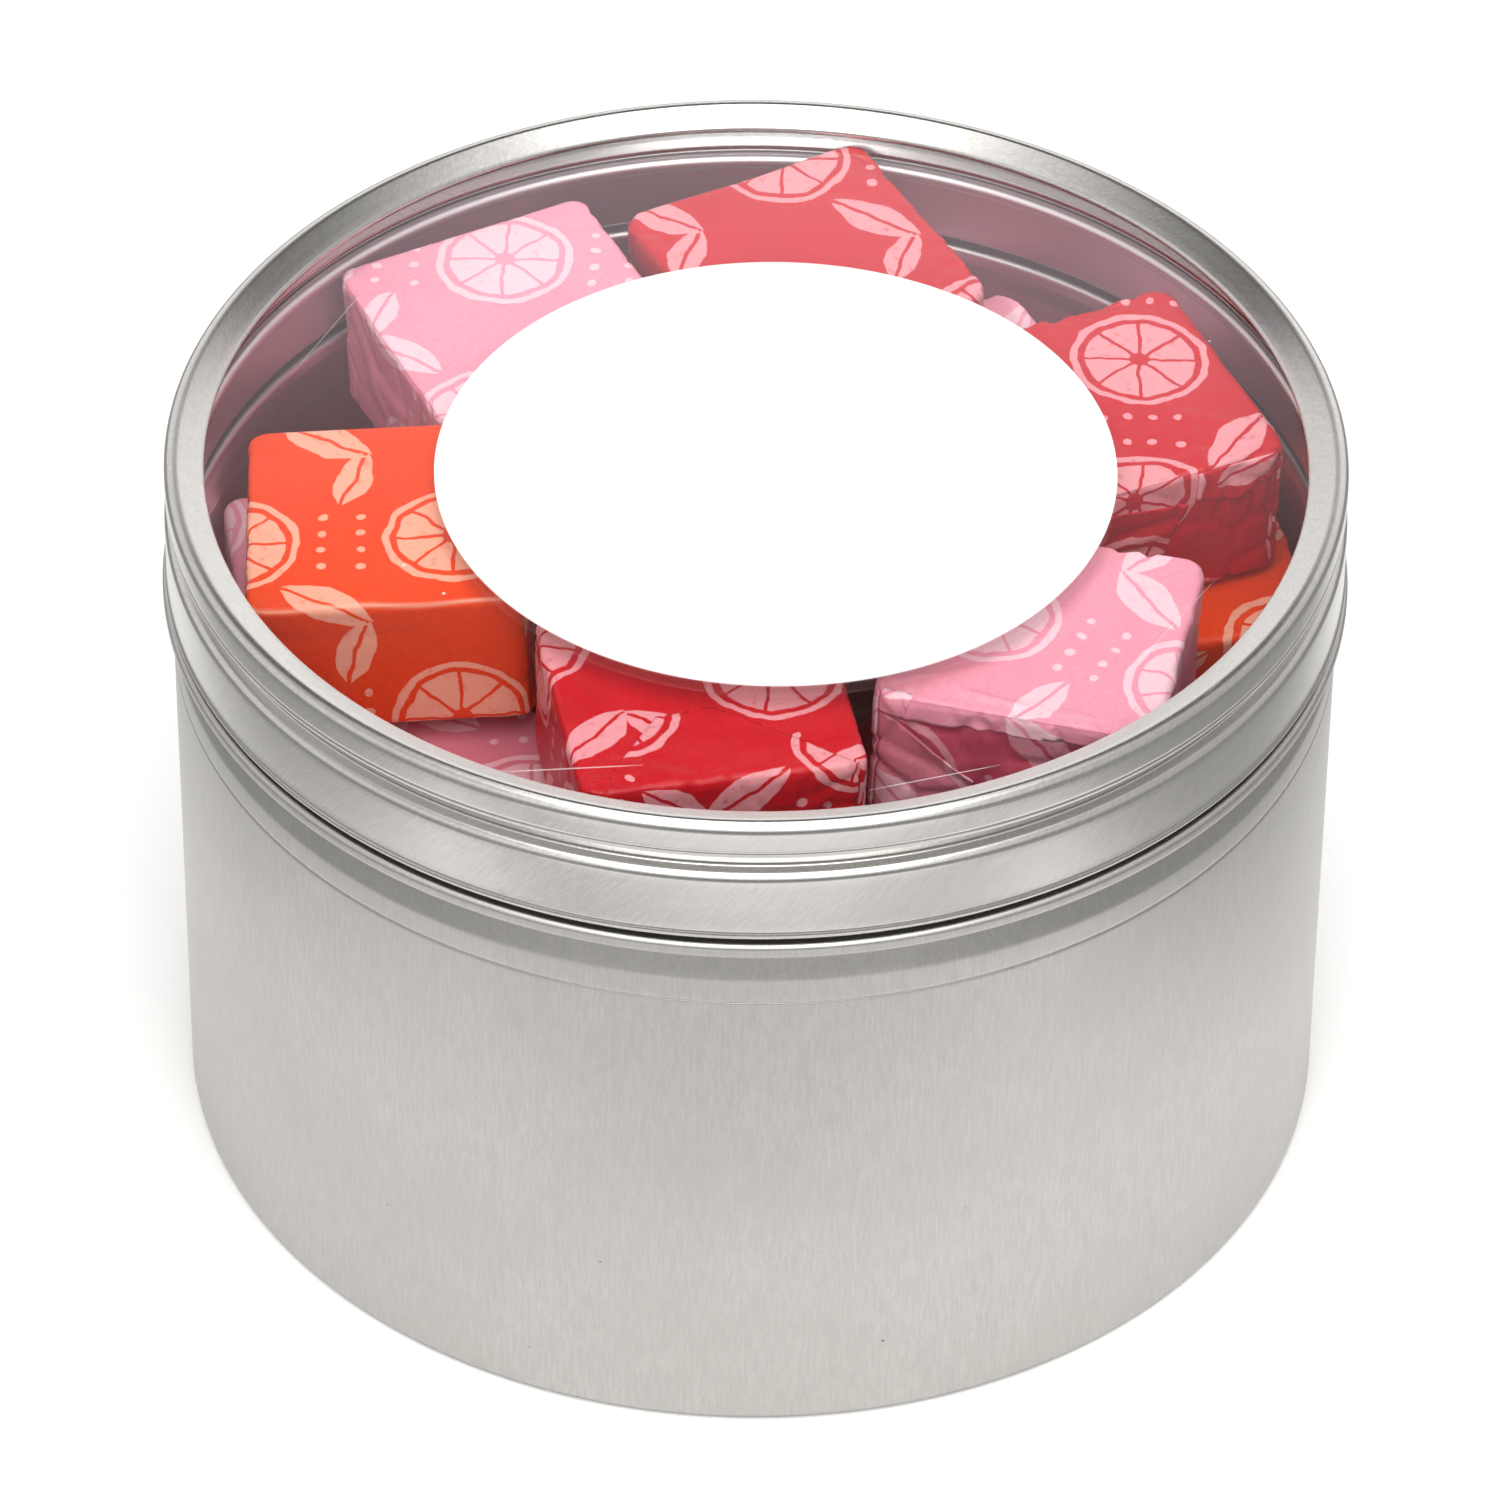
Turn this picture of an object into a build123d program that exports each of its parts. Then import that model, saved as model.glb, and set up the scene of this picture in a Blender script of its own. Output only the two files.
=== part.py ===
from build123d import *
import math
import os

os.makedirs("parts", exist_ok=True)

# Round slip-lid tin with a clear window lid, filled with small wrapped chews.
# Millimetres, +Z up. The origin is the centre of the base, on the surface that
# the tin stands on.

# ---------------------------------------------------------------- dimensions
BODY_R = 39.4            # outside radius of the straight can wall
SHEET = 0.30             # tinplate thickness
BASE_Z = 0.75            # height of the middle of the raised base panel's sheet
BASE_PANEL_R = 34.6      # where the raised base panel steps down to its ring
CORNER_R = 0.50          # bottom corner, to the middle of the sheet
SCORE_Z = 37.5           # faint scored line round the wall
SCORE_R = 0.06           # its depth
CONE_Z = 39.30           # where the wall begins to narrow toward the waist
WAIST_Z = 41.00          # where the waist is reached
WAIST_R = 38.90          # outside radius of the waist below the bead
BEAD_R = 40.0            # outside radius of the rolled bead under the lid
BEAD_Z = 42.30           # middle height of that bead
BEAD_HALF = 0.55         # half height of the bead, outside
NECK_R = 39.12           # outside radius of the neck that the lid slips over
CURL_R = 0.45            # radius of the curled mouth, to the middle of the sheet
CURL_Z = 47.85           # centre height of the curled mouth

LID_TOP = 52.60          # highest point of the lid's rim
BAND_R = 39.62           # outside radius of the lid's upper band
SKIRT_R = 39.72          # outside radius of the lid's skirt
RIM_R = 0.60             # rim crest radius, to the middle of the sheet
RIM_SLOPE = 25.0         # fall of the rim's top face toward the window, degrees
LIP_R = 36.935           # radius of the window opening
LIP_Z = 51.554           # centre height of the lip's fold
FOLD_R = 0.20            # radius of the lip's fold, to the middle of the sheet
HEM_LAP = 0.70           # length of sheet folded back under the lip
GROOVE_Z = 50.15         # fine line where the band begins to slope in
CREASE_R = 38.80         # outside radius of the crease between band and skirt
CREASE_Z = 48.86         # height of the crease
SKIRT_END = 43.95        # height where the skirt flares into its rolled hem

PANE_TOP = 51.15         # top face of the clear window
PANE_T = 0.40            # its thickness
PANE_R = 38.95           # outside radius of its turned-down flange
PANE_FLANGE_Z = 49.80    # lower edge of the flange

LABEL_D = 45.7           # round paper label
LABEL_T = 0.12
LABEL_XY = (1.3, -0.9)   # it was stuck on slightly off centre

CHEW = 19.0              # side of a wrapped chew
CHEW_T = 10.5            # its thickness
CHEW_CORNER = 1.5        # rounding of its upright edges
CHEW_EDGE = 0.6          # rounding of its top and bottom edges

H = SHEET / 2

# ------------------------------------------------------------------- the can
# One drawn piece: raised base panel, straight wall, waist, bead, neck and a
# mouth curled inward. The line is the middle of the sheet.
wall_c = BODY_R - H
waist_c = WAIST_R - H
bead_c = BEAD_R - H
neck_c = NECK_R - H
bead_h = BEAD_HALF - H

with BuildPart() as tin_body:
    with BuildSketch(Plane.XZ) as can_section:
        with BuildLine() as can_line:
            lower = FilletPolyline(
                (0.0, BASE_Z),
                (BASE_PANEL_R, BASE_Z),
                (BASE_PANEL_R + 0.9, H),
                (wall_c, H),
                (wall_c, CONE_Z),
                (waist_c, WAIST_Z),
                (waist_c, BEAD_Z - bead_h),
                (bead_c, BEAD_Z - bead_h),
                (bead_c, BEAD_Z + bead_h),
                (neck_c, BEAD_Z + bead_h),
                (neck_c, CURL_Z),
                radius=[0.5, 0.5, CORNER_R, 1.4, 0.8, 0.30, 0.20, 0.34, 0.30],
            )
            curl = JernArc(start=lower @ 1, tangent=(0, 1), radius=CURL_R, arc_size=265)
        trace(line_width=SHEET)
    revolve(axis=Axis.Z)
    with BuildSketch(Plane.XZ) as score_section:
        with Locations((BODY_R, SCORE_Z)):
            Circle(SCORE_R)
    revolve(axis=Axis.Z, mode=Mode.SUBTRACT)
tin_body.part.label = "tin_body"
export_step(tin_body.part, "parts/tin_body.step")

# -------------------------------------------------------------- the lid ring
# One pressed ring: folded lip, sloping rim, upright band, crease, rounded
# shoulder, skirt and rolled hem.
a = math.radians(RIM_SLOPE)
fold_c = (LIP_R + FOLD_R + H, LIP_Z)
lap_end = (fold_c[0] + FOLD_R * math.sin(a), fold_c[1] - FOLD_R * math.cos(a))
lap_start = (lap_end[0] + HEM_LAP * math.cos(a), lap_end[1] + HEM_LAP * math.sin(a))
band_c = BAND_R - H
rim_c = (band_c - RIM_R, LID_TOP - H - RIM_R)
rim_in = (rim_c[0] - RIM_R * math.sin(a), rim_c[1] + RIM_R * math.cos(a))
CREASE_C = 0.30          # crease radius, to the middle of the sheet
SHOULDER_C = 0.55        # shoulder radius, to the middle of the sheet
b_in = math.radians(-124.4)      # heading of the sloping foot of the band
b_out = math.radians(-20.0)      # heading of the sheet out of the crease
crease_c = (CREASE_R - H + CREASE_C, CREASE_Z)
crease_a = (crease_c[0] + CREASE_C * math.sin(b_in), crease_c[1] - CREASE_C * math.cos(b_in))
crease_b = (crease_c[0] + CREASE_C * math.sin(b_out), crease_c[1] - CREASE_C * math.cos(b_out))
skirt_c = SKIRT_R - H
sh_x = skirt_c - SHOULDER_C - SHOULDER_C * math.sin(b_out)
sh_in = (sh_x, crease_b[1] + (sh_x - crease_b[0]) * math.tan(b_out))
sh_c = (skirt_c - SHOULDER_C, sh_in[1] - SHOULDER_C * math.cos(b_out))
band_foot = (band_c, crease_a[1] + (band_c - crease_a[0]) * math.tan(b_in))

with BuildPart() as lid_ring:
    with BuildSketch(Plane.XZ) as ring_section:
        with BuildLine() as ring_line:
            lap = Line(lap_start, lap_end)
            fold = JernArc(start=lap @ 1, tangent=lap % 1, radius=FOLD_R, arc_size=-180)
            slope = Line(fold @ 1, rim_in)
            crest = JernArc(start=slope @ 1, tangent=slope % 1, radius=RIM_R, arc_size=-(90 + RIM_SLOPE))
            band = FilletPolyline(crest @ 1, band_foot, crease_a, radius=0.30)
            crease = JernArc(start=band @ 1, tangent=band % 1, radius=CREASE_C, arc_size=104.4)
            step = Line(crease @ 1, sh_in)
            shoulder = JernArc(start=step @ 1, tangent=step % 1, radius=SHOULDER_C, arc_size=-70)
            skirt = Line(shoulder @ 1, (skirt_c, SKIRT_END))
            flare = JernArc(start=skirt @ 1, tangent=(0, -1), radius=0.5, arc_size=35)
            hem = JernArc(start=flare @ 1, tangent=flare % 1, radius=0.20, arc_size=-125)
        trace(line_width=SHEET)
    revolve(axis=Axis.Z)
lid_ring.part.label = "lid_ring"
export_step(lid_ring.part, "parts/lid_ring.step")

# ------------------------------------------------------------ the clear window
# A shallow cup of clear sheet, pushed up under the lip and held by the crease.
with BuildPart() as window_pane:
    with BuildSketch(Plane.XZ) as pane_section:
        with BuildLine() as pane_line:
            cup = FilletPolyline(
                (0.0, PANE_TOP - PANE_T / 2),
                (PANE_R - PANE_T / 2, PANE_TOP - PANE_T / 2),
                (PANE_R - PANE_T / 2, PANE_FLANGE_Z),
                radius=0.35,
            )
        trace(line_width=PANE_T)
    revolve(axis=Axis.Z)
window_pane.part.label = "window_pane"
export_step(window_pane.part, "parts/window_pane.step")

# ------------------------------------------------------------- the paper label
with BuildPart() as label_disc:
    with BuildSketch(Plane.XY.offset(PANE_TOP)) as label_round:
        with Locations(LABEL_XY):
            Circle(LABEL_D / 2)
    extrude(amount=LABEL_T)
label_disc.part.label = "label_disc"
export_step(label_disc.part, "parts/label_disc.step")

# ---------------------------------------------------------- the wrapped chews
# name: centre, direction of one side, direction out of the broad face.
# The first seven lie right under the window, the next five fill the gaps that
# show between them, and the last twelve fill the can below.
CHEWS = {
    "pink_chew_1": ((-16.62, 19.96, 43.46), (0.9014, 0.4304, 0.0468), (-0.0365, -0.0320, 0.9988)),
    "red_chew_1": ((3.20, 24.73, 44.85), (0.8756, 0.4829, 0.0098), (0.0094, -0.0373, 0.9993)),
    "red_chew_2": ((23.48, 9.76, 43.89), (0.9103, 0.4139, -0.0004), (0.0136, -0.0289, 0.9995)),
    "pink_chew_2": ((18.66, -14.77, 43.93), (0.9781, -0.2055, -0.0337), (0.0300, -0.0212, 0.9993)),
    "red_chew_3": ((-3.60, -21.34, 43.74), (0.9808, 0.1948, -0.0066), (0.0075, -0.0036, 1.0000)),
    "orange_chew_1": ((-24.46, -3.63, 43.99), (0.9983, 0.0377, 0.0455), (-0.0447, -0.0235, 0.9987)),
    "orange_chew_2": ((-1.50, 1.79, 43.32), (0.9787, 0.2051, 0.0029), (-0.0007, -0.0109, 0.9999)),
    "pink_chew_3": ((-26.25, 4.99, 32.00), (0.9915, 0.1301, -0.0077), (0.0054, 0.0177, 0.9998)),
    "orange_chew_3": ((27.39, 6.75, 32.71), (0.9735, 0.2288, -0.0048), (0.0098, -0.0208, 0.9997)),
    "pink_chew_4": ((20.81, -14.84, 32.60), (0.9330, -0.3600, -0.0014), (-0.0039, -0.0142, 0.9999)),
    "pink_chew_5": ((-20.27, -18.18, 31.85), (0.8495, 0.5275, 0.0023), (-0.0055, 0.0045, 1.0000)),
    "pink_chew_6": ((11.55, 23.23, 32.96), (0.7954, -0.6058, -0.0210), (-0.0651, -0.1197, 0.9907)),
    "red_chew_4": ((-25.87, 6.38, 6.50), (-0.0091, 1.0, 0.0), (0.0, 0.0, 1.0)),
    "orange_chew_4": ((-0.16, -25.10, 6.50), (-0.4332, 0.9013, 0.0), (0.0, 0.0, 1.0)),
    "pink_chew_7": ((20.27, 17.28, 6.50), (0.6123, 0.7907, 0.0), (0.0, 0.0, 1.0)),
    "red_chew_5": ((21.22, -16.80, 6.50), (0.4559, 0.8900, 0.0), (0.0, 0.0, 1.0)),
    "orange_chew_5": ((3.43, 25.16, 10.75), (-0.6617, -0.7497, 0.0), (-0.7497, 0.6617, 0.0)),
    "pink_chew_8": ((-20.75, -15.67, 6.50), (-0.9195, 0.3931, 0.0), (0.0, 0.0, 1.0)),
    "red_chew_6": ((14.38, 0.72, 17.50), (0.7958, -0.6056, 0.0), (0.0, 0.0, 1.0)),
    "red_chew_7": ((-24.83, 10.84, 17.50), (-0.4114, -0.9115, 0.0), (0.0, 0.0, 1.0)),
    "pink_chew_9": ((7.45, -20.81, 17.50), (0.4545, 0.8907, 0.0), (0.0, 0.0, 1.0)),
    "pink_chew_10": ((5.80, -0.99, 6.50), (-0.9131, 0.4077, 0.0), (0.0, 0.0, 1.0)),
    "red_chew_8": ((-14.06, 28.91, 10.75), (-0.8996, -0.4367, 0.0), (0.4367, -0.8996, 0.0)),
    "orange_chew_6": ((-19.62, -17.24, 17.50), (-0.3657, -0.9307, 0.0), (0.0, 0.0, 1.0)),
}

for chew_name, (centre, side_dir, face_dir) in CHEWS.items():
    seat = Plane(origin=centre, x_dir=side_dir, z_dir=face_dir)
    with BuildPart() as chew:
        with BuildSketch(seat.offset(-CHEW_T / 2)) as chew_outline:
            RectangleRounded(CHEW, CHEW, CHEW_CORNER)
        extrude(amount=CHEW_T)
        ends = chew.faces().filter_by(GeomType.PLANE).sort_by(Axis(centre, face_dir))
        fillet(ends[0].edges() + ends[-1].edges(), radius=CHEW_EDGE)
    chew.part.label = chew_name
    export_step(chew.part, "parts/" + chew_name + ".step")
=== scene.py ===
import bpy
import math
import numpy as np
from mathutils import Matrix, Vector


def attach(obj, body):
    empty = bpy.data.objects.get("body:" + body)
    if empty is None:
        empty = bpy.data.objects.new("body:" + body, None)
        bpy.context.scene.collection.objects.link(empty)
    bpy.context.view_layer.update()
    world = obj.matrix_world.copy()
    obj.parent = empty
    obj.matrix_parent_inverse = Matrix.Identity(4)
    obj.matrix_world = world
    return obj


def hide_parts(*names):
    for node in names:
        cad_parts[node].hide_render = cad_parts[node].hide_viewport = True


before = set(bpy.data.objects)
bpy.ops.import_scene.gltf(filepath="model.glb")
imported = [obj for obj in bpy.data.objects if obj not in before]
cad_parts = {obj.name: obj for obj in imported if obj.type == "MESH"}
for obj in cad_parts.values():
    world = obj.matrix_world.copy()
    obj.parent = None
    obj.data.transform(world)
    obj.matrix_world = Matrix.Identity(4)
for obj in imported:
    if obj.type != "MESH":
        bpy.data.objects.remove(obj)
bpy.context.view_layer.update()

MM = 0.001
scene = bpy.context.scene
scene.view_settings.view_transform = "Standard"
scene.view_settings.look = "None"


# ------------------------------------------------------------------ node help
class X:
    """A shader socket that can be written in sums."""

    def __init__(self, nt, s):
        self.nt, self.s = nt, s

    def _math(self, op, *more, clamp=False):
        n = self.nt.nodes.new("ShaderNodeMath")
        n.operation = op
        n.use_clamp = clamp
        for i, v in enumerate((self, *more)):
            if isinstance(v, X):
                self.nt.links.new(v.s, n.inputs[i])
            else:
                n.inputs[i].default_value = float(v)
        return X(self.nt, n.outputs[0])

    def __add__(self, o): return self._math("ADD", o)
    def __radd__(self, o): return self._math("ADD", o)
    def __sub__(self, o): return self._math("SUBTRACT", o)
    def __rsub__(self, o): return (self * -1.0) + o
    def __mul__(self, o): return self._math("MULTIPLY", o)
    def __rmul__(self, o): return self._math("MULTIPLY", o)
    def __truediv__(self, o): return self._math("DIVIDE", o)
    def __neg__(self): return self * -1.0
    def abs(self): return self._math("ABSOLUTE")
    def fract(self): return self._math("FRACT")
    def floor(self): return self._math("FLOOR")
    def sin(self): return self._math("SINE")
    def cos(self): return self._math("COSINE")
    def sqrt(self): return self._math("SQRT")
    def pow(self, e): return self._math("POWER", e)
    def min(self, o): return self._math("MINIMUM", o)
    def max(self, o): return self._math("MAXIMUM", o)
    def atan2(self, o): return self._math("ARCTAN2", o)
    def clamp(self): return self._math("ADD", 0.0, clamp=True)

    def step(self, a, b):
        """0 below a, 1 above b, smooth between; falls if a > b."""
        n = self.nt.nodes.new("ShaderNodeMapRange")
        n.interpolation_type = "SMOOTHSTEP"
        n.clamp = True
        self.nt.links.new(self.s, n.inputs[0])
        lo, hi = (0.0, 1.0) if a < b else (1.0, 0.0)
        for i, v in zip((1, 2, 3, 4), (min(a, b), max(a, b), lo, hi)):
            n.inputs[i].default_value = v
        return X(self.nt, n.outputs[0])

    def band(self, a, b, soft):
        return self.step(a - soft, a + soft) * self.step(b + soft, b - soft)


def material(name):
    m = bpy.data.materials.new(name)
    m.use_nodes = True
    nt = m.node_tree
    bsdf = nt.nodes["Principled BSDF"]
    return m, nt, bsdf


def place_mm(nt):
    """The point's place in the part's own frame, in millimetres, as three sockets."""
    tc = nt.nodes.new("ShaderNodeTexCoord")
    sp = nt.nodes.new("ShaderNodeSeparateXYZ")
    nt.links.new(tc.outputs["Object"], sp.inputs[0])
    return [X(nt, sp.outputs[i]) * 1000.0 for i in range(3)]


def attribute(nt, name):
    n = nt.nodes.new("ShaderNodeAttribute")
    n.attribute_name = name
    return X(nt, n.outputs["Fac"])


def join_xyz(nt, x, y, z):
    n = nt.nodes.new("ShaderNodeCombineXYZ")
    for i, v in enumerate((x, y, z)):
        if isinstance(v, X):
            nt.links.new(v.s, n.inputs[i])
        else:
            n.inputs[i].default_value = float(v)
    return n.outputs[0]


def noise(nt, vec, scale=1.0, detail=3.0, rough=0.55, dist=0.0):
    n = nt.nodes.new("ShaderNodeTexNoise")
    n.inputs["Scale"].default_value = scale
    n.inputs["Detail"].default_value = detail
    n.inputs["Roughness"].default_value = rough
    n.inputs["Distortion"].default_value = dist
    nt.links.new(vec, n.inputs["Vector"])
    return X(nt, n.outputs[0])


def voronoi(nt, vec, scale=1.0, feature="F1"):
    n = nt.nodes.new("ShaderNodeTexVoronoi")
    n.feature = feature
    n.inputs["Scale"].default_value = scale
    nt.links.new(vec, n.inputs["Vector"])
    return n


def mix_rgb(nt, fac, a, b, mode="MIX"):
    n = nt.nodes.new("ShaderNodeMix")
    n.data_type = "RGBA"
    n.blend_type = mode
    n.clamp_factor = True
    if isinstance(fac, X):
        nt.links.new(fac.s, n.inputs[0])
    else:
        n.inputs[0].default_value = fac
    for i, v in ((6, a), (7, b)):
        if isinstance(v, (tuple, list)):
            n.inputs[i].default_value = (*v[:3], 1.0)
        else:
            nt.links.new(v, n.inputs[i])
    return n.outputs[2]


def bump(nt, bsdf, height, strength, dist_mm, prev=None):
    n = nt.nodes.new("ShaderNodeBump")
    n.inputs["Strength"].default_value = strength
    n.inputs["Distance"].default_value = dist_mm * MM
    nt.links.new(height.s, n.inputs["Height"])
    if prev is not None:
        nt.links.new(prev, n.inputs["Normal"])
    nt.links.new(n.outputs[0], bsdf.inputs["Normal"])
    return n.outputs[0]


# ------------------------------------------------------------------- camera
FOCAL_PX = 8889.158            # focal length in pixels of the 1500 px frame
cam_data = bpy.data.cameras.new("camera")
cam_data.sensor_fit = "HORIZONTAL"
cam_data.sensor_width = 36.0
cam_data.lens = FOCAL_PX / 1500.0 * 36.0
cam_data.clip_start, cam_data.clip_end = 0.05, 20.0
cam = bpy.data.objects.new("camera", cam_data)
scene.collection.objects.link(cam)
c_fwd = Vector((-0.00041044, 0.76609115, -0.64273182)).normalized()
c_right = Vector((0.99995396, 0.00647602, 0.0070804))
c_right = (c_right - c_right.dot(c_fwd) * c_fwd).normalized()
c_up = c_right.cross(c_fwd)
R0 = 39.4 * MM
m = Matrix((c_right, c_up, -c_fwd)).transposed().to_4x4()
m.translation = Vector((0.0, -11.89119, 10.6315)) * R0
cam.matrix_world = m
scene.camera = cam

# -------------------------------------------------------- light and the floor
world = bpy.data.worlds.new("studio")
scene.world = world
world.use_nodes = True
wt = world.node_tree
bg = wt.nodes["Background"]
tc = wt.nodes.new("ShaderNodeTexCoord")
sp = wt.nodes.new("ShaderNodeSeparateXYZ")
wt.links.new(tc.outputs["Generated"], sp.inputs[0])
wx, wy, wz = (X(wt, sp.outputs[i]) for i in range(3))
flat = (wx * wx + wy * wy + 1e-5).sqrt()
hx, hy = wx / flat, wy / flat
sq = lambda v: v.max(0.0) * v.max(0.0)
wall = sq(hy) * (1.36 + hx * 0.34) + sq(-hy) * (0.22 + wz.step(0.12, 0.42) * 1.10) + sq(-hx) * 0.95 + sq(hx) * 0.62   # back, front, left, right
low = wz.step(0.643, 0.583)                      # the walls end between 36 and 40 degrees up
high = wz.step(0.848, 0.940)                     # pale ceiling
gap = 0.03 + hy.step(0.82, 0.35) * 0.62 + sq(-hy) * 0.50   # dark above the back wall, paler over the sides and front
light = low * wall + (1.0 - low) * gap + high * (0.58 + hx * 0.05)
wt.links.new(light.s, bg.inputs["Strength"])
wt.links.new(mix_rgb(wt, wz.band(0.575, 0.680, 0.020) * hy.step(-0.3, 0.3), (1.0, 0.995, 0.985), (1.0, 0.86, 0.93)), bg.inputs["Color"])

soft = bpy.data.lights.new("softbox", "AREA")
soft.shape = "RECTANGLE"
soft.size, soft.size_y = 0.62, 0.80
soft.energy = 3.20 * math.pi * 0.62 * 0.80
soft.color = (1.0, 0.995, 0.985)
soft_o = bpy.data.objects.new("softbox", soft)
soft_o.location = (0.0, -0.46, 0.72)
soft_o.rotation_euler = (math.radians(32.0), 0.0, 0.0)   # faces the tin
scene.collection.objects.link(soft_o)
over = bpy.data.lights.new("overhead", "AREA")
over.shape = "RECTANGLE"
over.size, over.size_y = 0.30, 0.52
over.energy = 3.6 * math.pi * 0.30 * 0.52
over.color = (1.0, 0.997, 0.99)
over_o = bpy.data.objects.new("overhead", over)
over_o.location = (0.0, 0.08, 0.88)
scene.collection.objects.link(over_o)

bpy.ops.mesh.primitive_plane_add(size=6.0, location=(0, 0, 0))
floor = bpy.context.object
floor.name = "studio_floor"
fm, ft, fb = material("floor_white")
fx, fy, fz = place_mm(ft)
fn = noise(ft, join_xyz(ft, fx, fy, fz), 0.02, 2.0)
near = mix_rgb(ft, (fn - 0.5) * 0.2 + fx.step(-60.0, 60.0), (0.83, 0.83, 0.825), (0.91, 0.91, 0.905))
sheet = fx.step(-92.0, -66.0) * fx.step(86.0, 60.0) * fy.step(-175.0, -145.0) * fy.step(185.0, 142.0)   # white paper, grey beyond
sheet = sheet * (1.0 - fy.band(-90.0, -72.0, 12.0) * 0.76)   # a grey strip in front, out of view
ft.links.new(mix_rgb(ft, sheet, (0.26, 0.26, 0.26), near), fb.inputs["Base Color"])
fb.inputs["Roughness"].default_value = 0.7
fb.inputs["Specular IOR Level"].default_value = 0.2
floor.data.materials.append(fm)


# ------------------------------------------------------------------ tinplate
def tinplate(name, base, rough, spread, lid):
    mt, nt, b = material(name)
    x, y, z = place_mm(nt)
    s = attribute(nt, "along")                   # millimetres along the sheet's section
    rad = (x * x + y * y).sqrt()
    if lid:                                      # the rolling grain runs aslant on the pressed ring
        t = s * 0.020
        c, d = t.cos(), t.sin()
        gx, gy = x * c - y * d, x * d + y * c
    else:
        gx, gy = x, y
    grain = noise(nt, join_xyz(nt, gx * 4.6, gy * 4.6, s * (1.0 if lid else 0.55)), 1.0, 4.0, 0.62)
    fine = noise(nt, join_xyz(nt, gx * 12.0, gy * 12.0, s * 4.0), 1.0, 3.0, 0.6)
    if not lid:                                  # straight grain across the base
        g2 = noise(nt, join_xyz(nt, x * 4.2, y * 0.30, 5.0), 1.0, 4.0, 0.62)
        f2 = noise(nt, join_xyz(nt, x * 13.0, y * 1.7, 5.0), 1.0, 3.0, 0.6)
        k = s.step(34.0, 36.5)
        grain = grain * k + g2 * (1.0 - k)
        fine = fine * k + f2 * (1.0 - k)
    cloud = noise(nt, join_xyz(nt, x * 0.055, y * 0.055, s * 0.07), 1.0, 3.0, 0.55)
    mottle = noise(nt, join_xyz(nt, gx * 0.9, gy * 0.9, s * 0.45), 1.0, 3.0, 0.6)
    speck = voronoi(nt, join_xyz(nt, x, y, s), 0.55)
    dots = X(nt, speck.outputs["Distance"]).step(0.075, 0.03) * X(nt, speck.outputs["Color"]).step(0.83, 0.85)
    # short scuffs round the body, where it has rubbed on its neighbours
    scuff = noise(nt, join_xyz(nt, x * 0.22, y * 0.22, s * 3.6), 1.0, 2.0, 0.5, 0.5)
    scuffs = scuff.step(0.69, 0.75) * cloud.step(0.48, 0.62)
    tone = grain * 0.5 + fine * 0.35 + mottle * 0.15
    dark, pale = tuple(c * 0.90 for c in base), tuple(min(1.0, c * 1.08) for c in base)
    col = mix_rgb(nt, tone.step(0.36, 0.66), dark, pale)
    col = mix_rgb(nt, cloud.step(0.35, 0.72) * 0.5, col, tuple(c * f for c, f in zip(base, (0.90, 0.90, 0.89))))
    col = mix_rgb(nt, dots * 0.8, col, (0.08, 0.075, 0.07))
    col = mix_rgb(nt, scuffs * 0.22, col, tuple(min(1.0, c * 1.18) for c in base))
    if not lid:                                  # painted light: the inside face gets a brighter tin colour to lighten the tin's inside
        middle = 39.25 - ((z - 39.3) / 1.7).clamp() * 0.5 + z.step(42.2, 42.4) * 0.22   # radius of the sheet's middle
        inside_lightened = (middle - rad).step(-0.03, 0.03) * z.step(1.0, 2.0)
        col = mix_rgb(nt, inside_lightened, col, (0.86, 0.82, 0.825))
    nt.links.new(col, b.inputs["Base Color"])
    b.inputs["Metallic"].default_value = 1.0
    r = tone * spread + (rough - spread * 0.5) + cloud * 0.05 - 0.025 + scuffs * 0.05
    nt.links.new(r.s, b.inputs["Roughness"])
    b.inputs["Anisotropic"].default_value = 0.30
    tg = nt.nodes.new("ShaderNodeTangent")
    tg.direction_type = "RADIAL"
    tg.axis = "Z"
    nt.links.new(tg.outputs[0], b.inputs["Tangent"])
    h = bump(nt, b, grain, 0.15, 0.024)
    bump(nt, b, fine, 0.22, 0.014, h)
    return mt


can_metal = tinplate("tinplate_can_skin", (0.500, 0.488, 0.470), 0.42, 0.10, False)
lid_metal = tinplate("tinplate_lid_skin", (0.595, 0.582, 0.563), 0.235, 0.08, True)


# the sheet's middle line, as radius and height in millimetres
def bend(pts, radii, deg=9.0):
    """A polyline with its corners rounded."""
    out = [np.array(pts[0], float)]
    for i in range(1, len(pts) - 1):
        p0, p1, p2 = (np.array(q, float) for q in pts[i - 1:i + 2])
        d1, d2 = p1 - p0, p2 - p1
        d1 /= np.linalg.norm(d1)
        d2 /= np.linalg.norm(d2)
        turn_ = math.acos(max(-1.0, min(1.0, float(d1 @ d2))))
        r = radii[i - 1]
        start = p1 - d1 * r * math.tan(turn_ / 2)
        side = 1.0 if d1[0] * d2[1] - d1[1] * d2[0] > 0 else -1.0
        c = start + np.array([-d1[1], d1[0]]) * side * r
        a0 = math.atan2(*(start - c)[::-1])
        n = max(3, math.ceil(math.degrees(turn_) / deg))
        out += [c + r * np.array([math.cos(a0 + side * turn_ * j / n), math.sin(a0 + side * turn_ * j / n)]) for j in range(n + 1)]
    out.append(np.array(pts[-1], float))
    return out


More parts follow.
